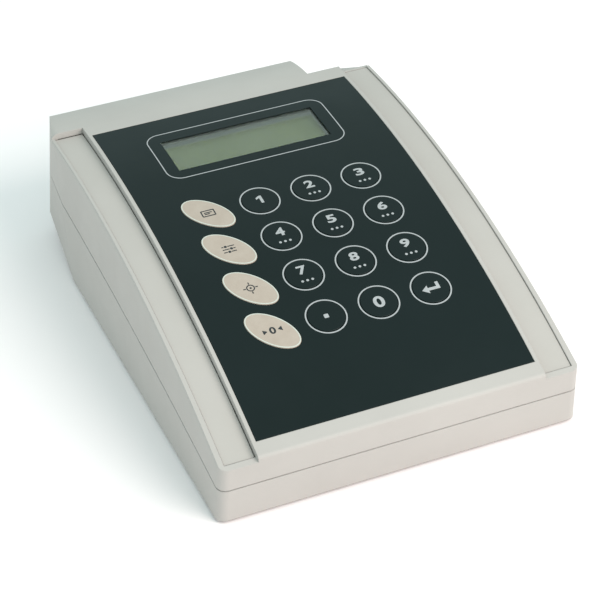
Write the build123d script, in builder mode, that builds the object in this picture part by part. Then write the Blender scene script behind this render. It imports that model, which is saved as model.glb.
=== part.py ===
from build123d import *
from math import atan2, cos, degrees, radians, sin, tan
import os

# Benchtop fluorometer: a two-shell desk case with an arched keypad panel, a rear hood
# and a small hinged lid over the sample port. Millimetres, +Z up, +Y towards the rear.
# The origin lies under the middle of the whole instrument, on the surface it stands on.

os.makedirs("parts", exist_ok=True)

# ---------------------------------------------------------------- driving dimensions
# Case
rim_half_width = 66.9         # outer rim at the height of the overlay's front edge
foot_height = 1.2             # rubber feet stand this far below the case
panel_radius = 395.4          # arch of the keypad panel, seen from the side
panel_front_slope = 21.24     # degrees, at the front edge of the overlay
overlay_front_height = 27.35  # front edge of the overlay above the case bottom
overlay_front_y = -92.56      # front edge of the overlay from the origin
overlay_length = 163.4        # along the arch
front_margin = 6.2            # case panel in front of the overlay, along the arch
rear_margin = 7.2             # case panel behind the overlay, along the arch
front_foot_set_back = 1.7     # foot of the front wall behind its top edge
side_draft = 1.8              # degrees, the side walls widen downwards
corner_radius = 3.5
crease_radius = 1.5
hood_radius = 1.8
rear_bevel = 0.5
wall = 2.5
panel_thickness = 4.6
# Side strips
panel_half_width = rim_half_width - 13.6
overlay_half_width = panel_half_width - 1.6
rim_drop = 1.9                # outer rim below the centre panel
strip_drop = 2.4              # strip surface below the centre panel
strip_thickness = 2.4
strip_gap = 0.35              # shadow gap beside the centre panel
strip_seat_gap = 0.1
rim_width = 2.3
strip_end_gap = 0.3
strip_front_lip = 1.6
# Rear hood and the underside
rear_wall_reach = 186.8       # rear wall behind the overlay's front edge
hood_edge_height = 49.6       # rear top edge above the case bottom
belly_flat_reach = 147.0      # the underside is flat up to here
rear_foot_height = 6.6        # lower edge of the rear wall above the case bottom
# Behind the strips the sides draw in, the hood more than the foot of the case
taper_half_width = rim_half_width - 1.1
upper_taper = 16.1            # degrees, seen from above
upper_taper_draft = 4.4
lower_taper = 5.6
lower_taper_draft = 0.0
# Parting of the two shells, heights above the case bottom
parting_front_height = 13.4
parting_middle_height = 25.0
parting_rear_height = 30.4
parting_gap = 0.5
lip_height = 1.8
lip_inset = 1.35
lip_clearance = 0.12
# Keypad
key_pitch = 20.0
key_row_pitch = 20.1
key_radius = 6.6
key_gap = 0.12
key_crown = 0.22
key_middle_x = 10.25          # middle column of the numeric block
first_row_reach = 100.1       # rear row from the overlay's front edge
function_key_x = -29.8
function_key_long = 10.7
function_key_short = 6.03
function_key_turn = -49.7     # degrees
key_travel = 0.4
overlay_thickness = 0.5
spacer_thickness = 1.1
circuit_thickness = 0.4
sheet_gap = 0.05              # between neighbouring curved sheets
dome_radius = 4.6
# Display
window_width = 60.8
window_length = 20.1
window_reach = 137.5          # centre of the window from the overlay's front edge
clear_sheet_thickness = 0.45
clear_sheet_margin = 2.4
bezel_width = 71.0
bezel_length = 26.0
bezel_height = 5.6
bezel_wall = 1.2
bezel_top = 0.75
glass_depth = 3.2             # glass surface below the overlay surface
glass_thickness = 2.6
display_board_width = 80.0
display_board_length = 36.0
board_thickness = 1.6
display_hole_x = 37.5
display_hole_y = 15.5
display_opening_gap = 0.5
# Sample port
hood_end_x = rim_half_width - 27.0  # the hood ends here and the sample port begins
port_angle = 28.0             # slope of the port deck, degrees
port_front_gap = 1.3          # port wall behind the rear edge of the panel
port_deck_height = 44.0       # front edge of the deck above the case bottom
port_x = rim_half_width - 13.5
port_reach = 177.0            # port axis from the overlay's front edge
tube_bore_radius = 4.5
well_radius = 5.6
well_clearance = 0.06
well_floor = 1.2
beam_height = 22.0
beam_window_radius = 2.4
lid_side_gap = 0.6
lid_thickness = 4.9
lid_lift = 0.75               # underside of the lid above the deck
lid_front_gap = 0.5
seal_thickness = 0.6
seal_inner = 6.0
seal_outer = 7.3
lid_pocket_depth = 3.3
knuckle_radius = 2.2
knuckle_gap = 0.25
hinge_pin_radius = 0.8
hinge_clearance = 0.06
shell_knuckle_width = 5.0
hinge_last_x = rim_half_width - 7.1
# Optical block
block_bottom = 13.6
block_top = 29.6
block_wall = 3.2
block_shell_gap = 0.15
optic_radius = 4.0
optic_clearance = 0.05
source_arm_length = 20.0
detector_arm_length = 17.5
# Electronics
main_board_half_width = rim_half_width - 20.9
main_board_front_reach = 22.0
main_board_rear_reach = 126.0
main_board_height = 10.0
board_hole_inset = 4.5
keypad_header_reach = 33.0
display_header_reach = main_board_rear_reach - 12.0
chip_x = -12.0
chip_reach = 72.0
chip_width = 24.0
chip_height = 3.2
capacitor_x = 28.0
capacitor_reach = 96.0
capacitor_pitch = 12.0
capacitor_radius = 3.1
capacitor_height = 9.0
# Fasteners
screw_clearance = 0.08
case_screw_radius = 1.45
case_screw_head_radius = 2.8
case_screw_head_height = 2.0
case_screw_length = 12.0
case_post_radius = 4.4
case_screw_x = rim_half_width - 11.9
case_screw_front_reach = 9.0
case_screw_rear_reach = 134.0
small_screw_radius = 1.2
small_screw_head_radius = 2.2
small_screw_head_height = 1.4
# Feet
foot_radius = 5.5
foot_recess = 0.8
foot_x = rim_half_width - 16.9
foot_front_reach = 24.0
foot_rear_reach = 118.0
# Rear connectors
connector_height = 21.6       # above the standing surface
switch_x = 20.9 - rim_half_width
switch_width = 18.6
switch_height = 12.6
switch_flange = 1.2
switch_flange_thickness = 1.5
switch_depth = 13.0
cutout_gap = 0.2
rocker_half_width = 7.7
rocker_half_height = 4.7
rocker_side_gap = 0.35
rocker_throw = 12.0           # degrees between the two rest positions
rocker_pin_radius = 1.2
jack_x = -24.0
jack_body_radius = 5.4
jack_bush_radius = 3.9
jack_bore_radius = 2.9
jack_pin_radius = 1.05
jack_nut_width = 11.0
serial_x = 4.0
serial_flange_width = 30.8
serial_flange_height = 12.5
serial_screw_pitch = 25.0
serial_body_width = 17.0
serial_body_height = 8.6
jackscrew_radius = 1.5
jackscrew_hex_radius = 2.7
# Ribbons
ribbon_reach = 8.0
ribbon_width = 20.0
display_ribbon_width = 30.0
header_margin = 2.0
ribbon_thickness = 0.4
header_height = 6.0
header_depth = 5.0

# ---------------------------------------------------------------- derived geometry
case_bottom = foot_height
front_slope = radians(panel_front_slope)
rear_wall_y = overlay_front_y + rear_wall_reach
panel_end = overlay_length + rear_margin
stack_depth = overlay_thickness + spacer_thickness + circuit_thickness + 3 * sheet_gap
dome_height = spacer_thickness - key_travel - sheet_gap
cut_start = -3 * front_margin  # cuts along the panel begin in front of the case
overlay_gap = 0.15
FAR = 300.0


def reach(distance):
    """Y of a place that lies this far behind the front edge of the overlay."""
    return overlay_front_y + distance


def panel_angle(s):
    """Slope of the panel, in radians, at the arc length s behind the overlay's front edge."""
    return front_slope - s / panel_radius


def panel_point(s, lift=0.0):
    """(Y, Z) of the panel surface at arc length s, raised by lift along its normal."""
    angle = panel_angle(s)
    y = overlay_front_y + panel_radius * (sin(front_slope) - sin(angle)) - lift * sin(angle)
    rise = panel_radius * (cos(angle) - cos(front_slope))
    return (y, case_bottom + overlay_front_height + rise + lift * cos(angle))


def panel_plane(x, s, lift=0.0):
    """Plane that touches the panel at (x, s): local X is across, local Y runs uphill."""
    angle = panel_angle(s)
    y, z = panel_point(s, lift)
    return Plane(origin=(x, y, z), x_dir=(1, 0, 0), z_dir=(0, -sin(angle), cos(angle)))


def write_piece(piece, name):
    """Label one finished piece and write it to its own file."""
    piece.part.label = name
    export_step(piece.part, f"parts/{name}.step")


def sheet_profile(s_low, s_high, lift_low, lift_high):
    """Side view of a sheet that follows the arch of the panel."""
    middle = (s_low + s_high) / 2
    with BuildSketch(Plane.YZ) as profile:
        with BuildLine():
            ThreePointArc(panel_point(s_low, lift_low), panel_point(middle, lift_low),
                          panel_point(s_high, lift_low))
            Line(panel_point(s_high, lift_low), panel_point(s_high, lift_high))
            ThreePointArc(panel_point(s_high, lift_high), panel_point(middle, lift_high),
                          panel_point(s_low, lift_high))
            Line(panel_point(s_low, lift_high), panel_point(s_low, lift_low))
        make_face()
    return profile.sketch


def arched_bar(x_low, x_high, s_low, s_high, lift_low, lift_high):
    """Solid between two lifts over the panel and between two X values."""
    profile = sheet_profile(s_low, s_high, lift_low, lift_high)
    with BuildPart() as bar:
        extrude(Plane.YZ.offset(x_low) * Plane.YZ.to_local_coords(profile), amount=x_high - x_low)
    return bar.part


def corner_of(sketch, point):
    """Vertex of a sketch nearest to a point, in the sketch's own coordinates."""
    return sketch.vertices().sort_by_distance(point)[0]


def taper_plane(side, angle, draft, inset):
    """Plane that draws one side in behind the strips; its normal points outwards."""
    level = cos(radians(draft))
    outward = Vector(side * cos(radians(angle)) * level, sin(radians(angle)) * level, sin(radians(draft)))
    y, z = panel_point(panel_end, -rim_drop)
    return Plane(origin=Vector(side * taper_half_width, y, z) - outward * inset, z_dir=outward)


def rear_bevel_plane(side):
    """Plane that takes the edge off a rear corner, at equal angles to both of its walls."""
    flank = taper_plane(side, upper_taper, upper_taper_draft, 0.0)
    run = rear_wall_y - flank.origin.Y
    corner = flank.origin + Vector(-side * tan(radians(upper_taper)), 1, 0) * run
    middle = (flank.z_dir + Vector(0, 1, 0)).normalized()
    return Plane(origin=corner - middle * rear_bevel, z_dir=middle)


def case_block(inset):
    """The whole case as one solid, inset by a wall on every side."""
    front_top = panel_point(-front_margin)
    panel_rear = panel_point(panel_end)
    rear_angle = panel_angle(panel_end)
    front_foot = (front_top[0] + front_foot_set_back, case_bottom)
    hood_edge = (rear_wall_y, case_bottom + hood_edge_height)
    rear_foot = (rear_wall_y, case_bottom + rear_foot_height)
    belly_end = (reach(belly_flat_reach), case_bottom)
    with BuildSketch(Plane.YZ) as profile:
        with BuildLine():
            Line(front_foot, front_top)
            ThreePointArc(front_top, panel_point(panel_end / 2), panel_rear)
            TangentArc(panel_rear, hood_edge, tangent=(cos(rear_angle), sin(rear_angle)))
            Line(hood_edge, rear_foot)
            Line(rear_foot, belly_end)
            Line(belly_end, front_foot)
        make_face()
        fillet(corner_of(profile, front_top), radius=crease_radius)
        fillet(corner_of(profile, hood_edge), radius=hood_radius)
        if inset > 0:
            offset(amount=-inset, kind=Kind.INTERSECTION)
    flare = tan(radians(side_draft))
    top_z = case_bottom + hood_edge_height + FAR / 10
    bottom_half = rim_half_width + overlay_front_height * flare - inset
    top_half = bottom_half - (top_z - case_bottom) * flare
    with BuildSketch(Plane.XZ) as front:
        Polygon((-bottom_half, case_bottom - foot_height), (bottom_half, case_bottom - foot_height),
                (top_half, top_z), (-top_half, top_z), align=None)
    with BuildPart() as block:
        extrude(profile.sketch, amount=FAR, both=True)
        extrude(front.sketch, amount=FAR, both=True, mode=Mode.INTERSECT)
        if inset == 0:
            upright = block.edges().filter_by(lambda e: abs((e % 0.5).Z) > 0.9)
            fillet(upright, radius=corner_radius)
        for side in (-1, 1):
            split(bisect_by=taper_plane(side, upper_taper, upper_taper_draft, inset), keep=Keep.BOTTOM)
            split(bisect_by=taper_plane(side, lower_taper, lower_taper_draft, inset), keep=Keep.BOTTOM)
            if inset == 0:
                split(bisect_by=rear_bevel_plane(side), keep=Keep.BOTTOM)
    return block.part


def parting_zone(low, high):
    """Everything between two heights over the curved parting surface."""
    front_y = reach(-30.0)
    middle_y = reach(90.0)
    rear_y = reach(210.0)
    front_z = case_bottom + parting_front_height - 3.6
    middle_z = case_bottom + parting_middle_height
    rear_z = case_bottom + parting_rear_height
    with BuildSketch(Plane.YZ) as zone:
        with BuildLine():
            ThreePointArc((front_y, front_z + low), (middle_y, middle_z + low), (rear_y, rear_z + low))
            Line((rear_y, rear_z + low), (rear_y, rear_z + high))
            ThreePointArc((rear_y, rear_z + high), (middle_y, middle_z + high), (front_y, front_z + high))
            Line((front_y, front_z + high), (front_y, front_z + low))
        make_face()
    with BuildPart() as solid:
        extrude(zone.sketch, amount=FAR, both=True)
    return solid.part


def port_zone(inset):
    """Corner cut out of the rear hood above the sloping port deck."""
    front_y = panel_point(panel_end)[0] + port_front_gap - inset
    drop = tan(radians(port_angle))
    front_z = case_bottom + port_deck_height - inset / cos(radians(port_angle)) + inset * drop
    rear_y = front_y + 60.0
    with BuildSketch(Plane.YZ) as side:
        Polygon((front_y, front_z), (rear_y, front_z - 60.0 * drop), (rear_y, FAR), (front_y, FAR), align=None)
    with BuildPart() as zone:
        extrude(Plane.YZ.offset(hood_end_x - inset) * Plane.YZ.to_local_coords(side.sketch), amount=FAR)
    return zone.part


def deck_plane(along=0.0, lift=0.0, x=None):
    """Plane on the port deck, along mm down its slope from its front edge."""
    front_y = panel_point(panel_end)[0] + port_front_gap
    slope = radians(port_angle)
    y = front_y + along * cos(slope) + lift * sin(slope)
    z = case_bottom + port_deck_height - along * sin(slope) + lift * cos(slope)
    return Plane(origin=(port_x if x is None else x, y, z), x_dir=(1, 0, 0), z_dir=(0, sin(slope), cos(slope)))


def key_places():
    """Name, X and arc length of every round key, rows counted from the rear."""
    names = (("key_1", "key_2", "key_3"), ("key_4", "key_5", "key_6"),
             ("key_7", "key_8", "key_9"), ("key_point", "key_0", "key_enter"))
    places = []
    for row, row_names in enumerate(names):
        for column, name in enumerate(row_names):
            x = key_middle_x + (column - 1) * key_pitch
            places.append((name, x, first_row_reach - row * key_row_pitch))
    return places


def function_key_places():
    """Name, X and arc length of the four oval keys."""
    names = ("key_display", "key_setup", "key_calibrate", "key_zero")
    return [(name, function_key_x, first_row_reach - row * key_row_pitch) for row, name in enumerate(names)]


def key_cutters(gap, low, high):
    """One cutter per key, wider than the key by gap, from lift low to lift high."""
    with BuildPart() as cutters:
        for _, x, s in key_places():
            with BuildSketch(panel_plane(x, s, low)):
                Circle(key_radius + gap)
            extrude(amount=high - low)
        for _, x, s in function_key_places():
            with BuildSketch(panel_plane(x, s, low)):
                Ellipse(function_key_long + gap, function_key_short + gap, rotation=function_key_turn)
            extrude(amount=high - low)
    return cutters.part


def window_cutter(width, length, low, high):
    """Straight cutter through the panel at the display window."""
    with BuildPart() as cutter:
        with BuildSketch(panel_plane(0, window_reach, low)):
            Rectangle(width, length)
        extrude(amount=high - low)
    return cutter.part


# ---------------------------------------------------------------- shared solids
outer_block = case_block(0.0)
inner_block = case_block(wall)
lip_block = case_block(lip_inset)
lip_seat_block = case_block(lip_inset - lip_clearance)
port_deck_y = reach(port_reach)
recess_floor = -strip_drop - strip_thickness - strip_seat_gap
strip_outer_x = rim_half_width - rim_width
case_screw_places = [(side * case_screw_x, reach(y)) for side in (-1, 1)
                     for y in (case_screw_front_reach, case_screw_rear_reach)]
board_screw_places = [(side * (main_board_half_width - board_hole_inset), reach(y)) for side in (-1, 1)
                      for y in (main_board_front_reach + board_hole_inset,
                                main_board_rear_reach - board_hole_inset)]
main_board_z = case_bottom + main_board_height
post_meet_height = 4.0        # screw posts meet this far above the base's front parting
post_seat_depth = 6.0         # from the meeting face down to the screw head
foot_places = [(side * foot_x, reach(y)) for side in (-1, 1) for y in (foot_front_reach, foot_rear_reach)]
rear_plane = Plane(origin=(0, rear_wall_y, connector_height), x_dir=(-1, 0, 0), z_dir=(0, 1, 0))
# hinge of the port lid, in the plane of the deck
deck_length = (rear_wall_y - panel_point(panel_end)[0] - port_front_gap) / cos(radians(port_angle))
hinge_along = deck_length - 1.3
hinge_lift = knuckle_radius + 0.15
hinge_origin = deck_plane(hinge_along, hinge_lift).origin
hinge_axis_plane = Plane(origin=(0, hinge_origin.Y, hinge_origin.Z), x_dir=(0, 1, 0), z_dir=(1, 0, 0))
first_knuckle_x = hood_end_x + 1.4 + shell_knuckle_width / 2
last_knuckle_x = hinge_last_x - shell_knuckle_width / 2
hinge_middle_x = (first_knuckle_x + last_knuckle_x) / 2
shell_knuckle_centres = (first_knuckle_x, last_knuckle_x)
# optical block
block_front_y = port_deck_y - well_radius - block_wall
block_rear_y = rear_wall_y - wall - block_shell_gap
arm_half = optic_radius + block_wall
source_arm_end = block_front_y - source_arm_length
block_left_x = port_x - well_radius - block_wall
detector_arm_end = block_left_x - detector_arm_length
ear_radius = 3.6
ear_thickness = 3.0
block_post_places = [(port_x - arm_half - ear_radius, source_arm_end + ear_radius + 1.0),
                     (detector_arm_end + ear_radius + 1.0, port_deck_y - arm_half - ear_radius)]


def post_meet_z(y):
    """Height at which the base's screw post meets the top shell's post."""
    return case_bottom + parting_front_height + (post_meet_height if y < 0 else 2.5 * post_meet_height)


def case_screw_seat_z(y):
    """Height of the face that a case screw's head bears on."""
    return post_meet_z(y) - post_seat_depth


def upright_cylinder(x, y, z_low, z_high, radius):
    """Plain vertical cylinder between two heights."""
    return Pos(x, y, (z_low + z_high) / 2) * Cylinder(radius, z_high - z_low, mode=Mode.PRIVATE)


# ---------------------------------------------------------------- shells
def make_top_shell():
    """Upper half: arched panel, strip recesses, hood and sloping port deck."""
    ceiling = arched_bar(-FAR, FAR, cut_start, panel_end - 1.0, -panel_thickness, FAR / 8)
    shoulder_low = recess_floor - wall
    shoulders = [arched_bar(*x, cut_start, panel_end - 1.0, shoulder_low, FAR / 8)
                 for x in ((-FAR, -panel_half_width + wall), (panel_half_width - wall, FAR))]
    void = inner_block - ceiling
    for shoulder in shoulders:
        void = void - shoulder
    void = void - port_zone(wall)
    posts = [upright_cylinder(x, y, post_meet_z(y), panel_point(y - overlay_front_y)[1] - panel_thickness + 1.0,
                              case_post_radius) for x, y in case_screw_places]
    with BuildPart() as top_shell:
        add(outer_block)
        add(parting_zone(-FAR / 2, parting_gap / 2), mode=Mode.SUBTRACT)
        for low, high in ((-FAR, -panel_half_width), (panel_half_width, FAR)):
            add(arched_bar(low, high, cut_start, panel_end, -rim_drop, FAR / 8), mode=Mode.SUBTRACT)
        # the port wall behind the right strip is level with the strip
        add(arched_bar(panel_half_width, FAR, panel_end, panel_end + 2 * port_front_gap, -strip_drop, FAR / 8),
            mode=Mode.SUBTRACT)
        add(port_zone(0.0), mode=Mode.SUBTRACT)
        add(void, mode=Mode.SUBTRACT)
        add(lip_seat_block & parting_zone(-1.0, lip_height + lip_clearance), mode=Mode.SUBTRACT)
        for post in posts:
            add(post)
        add(arched_bar(-overlay_half_width - overlay_gap, overlay_half_width + overlay_gap,
                       -overlay_gap, overlay_length + overlay_gap, -stack_depth, FAR / 20), mode=Mode.SUBTRACT)
        for low, high in ((-strip_outer_x, -panel_half_width), (panel_half_width, strip_outer_x)):
            add(arched_bar(low, high, strip_front_lip - front_margin, panel_end, recess_floor, FAR / 20),
                mode=Mode.SUBTRACT)
        display_lift = glass_depth + bezel_height + panel_thickness
        post_foot = overlay_thickness + bezel_top + bezel_height
        with Locations(panel_plane(0, window_reach, -post_foot)):
            with GridLocations(2 * display_hole_x, 2 * display_hole_y, 2, 2):
                Cylinder(2.6, post_foot - panel_thickness + 0.3,
                         align=(Align.CENTER, Align.CENTER, Align.MIN))
                Cylinder(small_screw_radius + screw_clearance, bezel_height - 1.6, mode=Mode.SUBTRACT,
                         align=(Align.CENTER, Align.CENTER, Align.MIN))
        add(window_cutter(bezel_width + 2 * display_opening_gap, bezel_length + 2 * display_opening_gap,
                          -display_lift, 1.0), mode=Mode.SUBTRACT)
        for x, y in case_screw_places:
            z = post_meet_z(y)
            add(upright_cylinder(x, y, z - 1.0, z + case_screw_length - 3.0,
                                 case_screw_radius + screw_clearance), mode=Mode.SUBTRACT)
        # tail slot for the keypad ribbon
        with BuildSketch(panel_plane(0, ribbon_reach, -panel_thickness - 1.0)):
            Rectangle(ribbon_width + 2.0, 3.0)
        extrude(amount=panel_thickness, mode=Mode.SUBTRACT)
        # port: well hole through the deck and the two hinge knuckles
        add(upright_cylinder(port_x, port_deck_y, block_top, FAR / 4, well_radius + well_clearance),
            mode=Mode.SUBTRACT)
        for x in shell_knuckle_centres:
            with Locations(hinge_axis_plane.offset(x - shell_knuckle_width / 2)):
                Cylinder(knuckle_radius, shell_knuckle_width, align=(Align.CENTER, Align.CENTER, Align.MIN))
            with Locations(deck_plane(hinge_along, 0.0, x)):
                Box(shell_knuckle_width, 2 * knuckle_radius - 1.2, hinge_lift - 0.2,
                    align=(Align.CENTER, Align.CENTER, Align.MIN))
        with Locations(hinge_axis_plane.offset(hood_end_x + 1.2)):
            Cylinder(hinge_pin_radius + 0.02, FAR / 6, mode=Mode.SUBTRACT,
                     align=(Align.CENTER, Align.CENTER, Align.MIN))
    write_piece(top_shell, "top_shell")


def make_base_shell():
    """Lower tray with lip, screw posts, board posts, foot seats and connector cut-outs."""
    lip = (lip_block - inner_block) & parting_zone(-2.5, lip_height)
    port_cut = port_zone(wall + lip_clearance)
    with BuildPart() as base_shell:
        add(outer_block)
        add(parting_zone(-parting_gap / 2, FAR / 2), mode=Mode.SUBTRACT)
        add(inner_block, mode=Mode.SUBTRACT)
        add(lip - port_cut)
        for x, y in case_screw_places:
            add(upright_cylinder(x, y, case_bottom + 0.5, post_meet_z(y), case_post_radius))
        for x, y in board_screw_places:
            add(upright_cylinder(x, y, case_bottom + 0.5, main_board_z, 3.0))
        for x, y in block_post_places:
            add(upright_cylinder(x, y, case_bottom + 3.0, block_bottom, 2.8) & outer_block)
        for x, y in case_screw_places:
            add(upright_cylinder(x, y, 0.0, post_meet_z(y) + 1.0, case_screw_radius + 0.25), mode=Mode.SUBTRACT)
            add(upright_cylinder(x, y, 0.0, case_screw_seat_z(y), case_screw_head_radius + 0.4),
                mode=Mode.SUBTRACT)
        for x, y in board_screw_places:
            add(upright_cylinder(x, y, main_board_z - 5.0, main_board_z + 1.0,
                                 small_screw_radius + screw_clearance), mode=Mode.SUBTRACT)
        for x, y in block_post_places:
            add(upright_cylinder(x, y, block_bottom - 5.0, block_bottom + 1.0,
                                 small_screw_radius + screw_clearance), mode=Mode.SUBTRACT)
        for x, y in foot_places:
            add(upright_cylinder(x, y, 0.0, case_bottom + foot_recess, foot_radius + 0.1), mode=Mode.SUBTRACT)
        with BuildSketch(rear_plane):
            with Locations((-switch_x, 0)):
                Rectangle(switch_width + 2 * cutout_gap, switch_height + 2 * cutout_gap)
            with Locations((-jack_x, 0)):
                Circle(jack_bush_radius + cutout_gap)
            with Locations((-serial_x, 0)):
                Rectangle(serial_body_width + 2 * cutout_gap, serial_body_height + 2 * cutout_gap)
                with GridLocations(serial_screw_pitch, 1, 2, 1):
                    Circle(jackscrew_radius + screw_clearance)
        extrude(amount=-2 * wall, both=True, mode=Mode.SUBTRACT)
    write_piece(base_shell, "base_shell")


def make_side_strips():
    """Snap-in side strips that cover the recesses beside the panel."""
    for name, low, high in (("left_side_strip", -strip_outer_x + strip_end_gap / 2, -panel_half_width - strip_gap),
                            ("right_side_strip", panel_half_width + strip_gap, strip_outer_x - strip_end_gap / 2)):
        with BuildPart() as strip:
            add(arched_bar(low, high, strip_front_lip - front_margin + strip_end_gap, panel_end - strip_end_gap,
                           recess_floor + strip_seat_gap, -strip_drop))
            top_edges = strip.faces().sort_by(Axis.Z)[-1].edges()
            fillet(top_edges, radius=0.4)
        write_piece(strip, name)


def make_feet():
    """Four rubber feet, seated in shallow recesses."""
    with BuildPart() as rubber_feet:
        for x, y in foot_places:
            with BuildSketch(Plane(origin=(x, y, case_bottom + foot_recess))):
                Circle(foot_radius)
            extrude(amount=-(foot_height + foot_recess))
        chamfer(rubber_feet.edges().group_by(Axis.Z)[0], length=0.5)
    write_piece(rubber_feet, "rubber_feet")


def screw_solid(x, y, seat_z, head_radius, head_height, radius, length):
    """Pan-head screw whose head hangs below seat_z and whose shank points up."""
    return (upright_cylinder(x, y, seat_z - head_height, seat_z, head_radius)
            + upright_cylinder(x, y, seat_z, seat_z + length, radius))


def make_case_screws():
    """Four screws that pull the top shell onto the base from below."""
    with BuildPart() as case_screws:
        for x, y in case_screw_places:
            seat = case_screw_seat_z(y)
            add(screw_solid(x, y, seat, case_screw_head_radius, case_screw_head_height,
                            case_screw_radius, case_screw_length))
    write_piece(case_screws, "case_screws")


# ---------------------------------------------------------------- keypad
def make_overlay():
    """Printed front sheet with an opening for each key and for the display."""
    with BuildPart() as keypad_overlay:
        add(arched_bar(-overlay_half_width, overlay_half_width, 0.0, overlay_length, -overlay_thickness, 0.0))
        add(key_cutters(key_gap, -2 * overlay_thickness, overlay_thickness), mode=Mode.SUBTRACT)
        add(window_cutter(window_width, window_length, -2 * overlay_thickness, overlay_thickness),
            mode=Mode.SUBTRACT)
    write_piece(keypad_overlay, "keypad_overlay")


def make_spacer():
    """Spacer sheet that leaves room for the snap domes under every key."""
    high = -overlay_thickness - sheet_gap
    with BuildPart() as keypad_spacer:
        add(arched_bar(-overlay_half_width, overlay_half_width, 0.0, overlay_length,
                       high - spacer_thickness, high))
        add(key_cutters(2 * key_gap, -stack_depth, spacer_thickness), mode=Mode.SUBTRACT)
        add(window_cutter(bezel_width + 1.0, bezel_length + 1.0, -3.0, 1.0), mode=Mode.SUBTRACT)
    write_piece(keypad_spacer, "keypad_spacer")


def make_circuit():
    """Flexible switch circuit that carries the snap domes."""
    high = -overlay_thickness - spacer_thickness - 2 * sheet_gap
    with BuildPart() as keypad_circuit:
        add(arched_bar(-overlay_half_width, overlay_half_width, 0.0, overlay_length,
                       high - circuit_thickness, high))
        add(window_cutter(bezel_width + 1.0, bezel_length + 1.0, -4.0, 1.0), mode=Mode.SUBTRACT)
    write_piece(keypad_circuit, "keypad_circuit")


def make_domes():
    """Sixteen metal snap domes, one under each key."""
    seat = -overlay_thickness - spacer_thickness - 2 * sheet_gap + 0.02
    with BuildPart() as snap_domes:
        for _, x, s in key_places() + function_key_places():
            with BuildSketch(panel_plane(x, s, seat)):
                Circle(dome_radius)
            extrude(amount=dome_height / 2)
            with BuildSketch(panel_plane(x, s, seat + dome_height / 2)):
                Circle(0.7 * dome_radius)
            extrude(amount=dome_height / 2)
    write_piece(snap_domes, "snap_domes")


def make_keys():
    """Twelve round keys and four oval keys, slightly crowned."""
    for name, x, s in key_places():
        with BuildPart() as key:
            with BuildSketch(panel_plane(x, s, -overlay_thickness)):
                Circle(key_radius)
            extrude(amount=overlay_thickness + key_crown)
            rim = key.faces().sort_by(Axis.Z)[-1].edges()
            fillet(rim, radius=0.9 * key_crown)
        write_piece(key, name)
    for name, x, s in function_key_places():
        with BuildPart() as key:
            with BuildSketch(panel_plane(x, s, -overlay_thickness)):
                Ellipse(function_key_long, function_key_short, rotation=function_key_turn)
            extrude(amount=overlay_thickness + key_crown)
            rim = key.faces().sort_by(Axis.Z)[-1].edges()
            fillet(rim, radius=0.9 * key_crown)
        write_piece(key, name)


# ---------------------------------------------------------------- display
def make_display():
    """Clear sheet, metal bezel, glass, board and screws of the two-line display."""
    clear_top = -overlay_thickness - sheet_gap
    frame_plane = panel_plane(0, window_reach, -bezel_top - bezel_height - overlay_thickness)
    bezel_base = -bezel_top - bezel_height - overlay_thickness
    with BuildPart() as display_window:
        with BuildSketch(panel_plane(0, window_reach, clear_top - 0.15)):
            Rectangle(window_width + 2 * clear_sheet_margin, window_length + 2 * clear_sheet_margin)
        extrude(amount=-clear_sheet_thickness)
    write_piece(display_window, "display_window")
    with BuildPart() as display_bezel:
        with BuildSketch(frame_plane):
            Rectangle(bezel_width, bezel_length)
        extrude(amount=bezel_height)
        with BuildSketch(frame_plane):
            Rectangle(bezel_width - 2 * bezel_wall, bezel_length - 2 * bezel_wall)
        extrude(amount=bezel_height - 0.5, mode=Mode.SUBTRACT)
        with BuildSketch(frame_plane):
            Rectangle(window_width + 1.2, window_length + 1.0)
        extrude(amount=bezel_height, mode=Mode.SUBTRACT)
    write_piece(display_bezel, "display_bezel")
    with BuildPart() as display_glass:
        with BuildSketch(panel_plane(0, window_reach, -glass_depth)):
            Rectangle(bezel_width - 2 * bezel_wall - 0.4, bezel_length - 2 * bezel_wall - 0.4)
        extrude(amount=-glass_thickness)
    write_piece(display_glass, "display_glass")
    with BuildPart() as display_frame:
        with BuildSketch(frame_plane):
            Rectangle(bezel_width - 2 * bezel_wall - 0.4, bezel_length - 2 * bezel_wall - 0.4)
        extrude(amount=-glass_depth - glass_thickness - bezel_base - 0.05)
    write_piece(display_frame, "display_backlight")
    with BuildPart() as display_board:
        with BuildSketch(frame_plane.offset(-0.05)):
            Rectangle(display_board_width, display_board_length)
            with GridLocations(2 * display_hole_x, 2 * display_hole_y, 2, 2):
                Circle(small_screw_radius + 0.2, mode=Mode.SUBTRACT)
        extrude(amount=-board_thickness)
    write_piece(display_board, "display_board")
    with BuildPart() as display_screws:
        with Locations(frame_plane.offset(-0.05 - board_thickness)):
            with GridLocations(2 * display_hole_x, 2 * display_hole_y, 2, 2):
                Cylinder(small_screw_head_radius, small_screw_head_height,
                         align=(Align.CENTER, Align.CENTER, Align.MAX))
                Cylinder(small_screw_radius, board_thickness + 3.0,
                         align=(Align.CENTER, Align.CENTER, Align.MIN))
    write_piece(display_screws, "display_screws")


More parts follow.
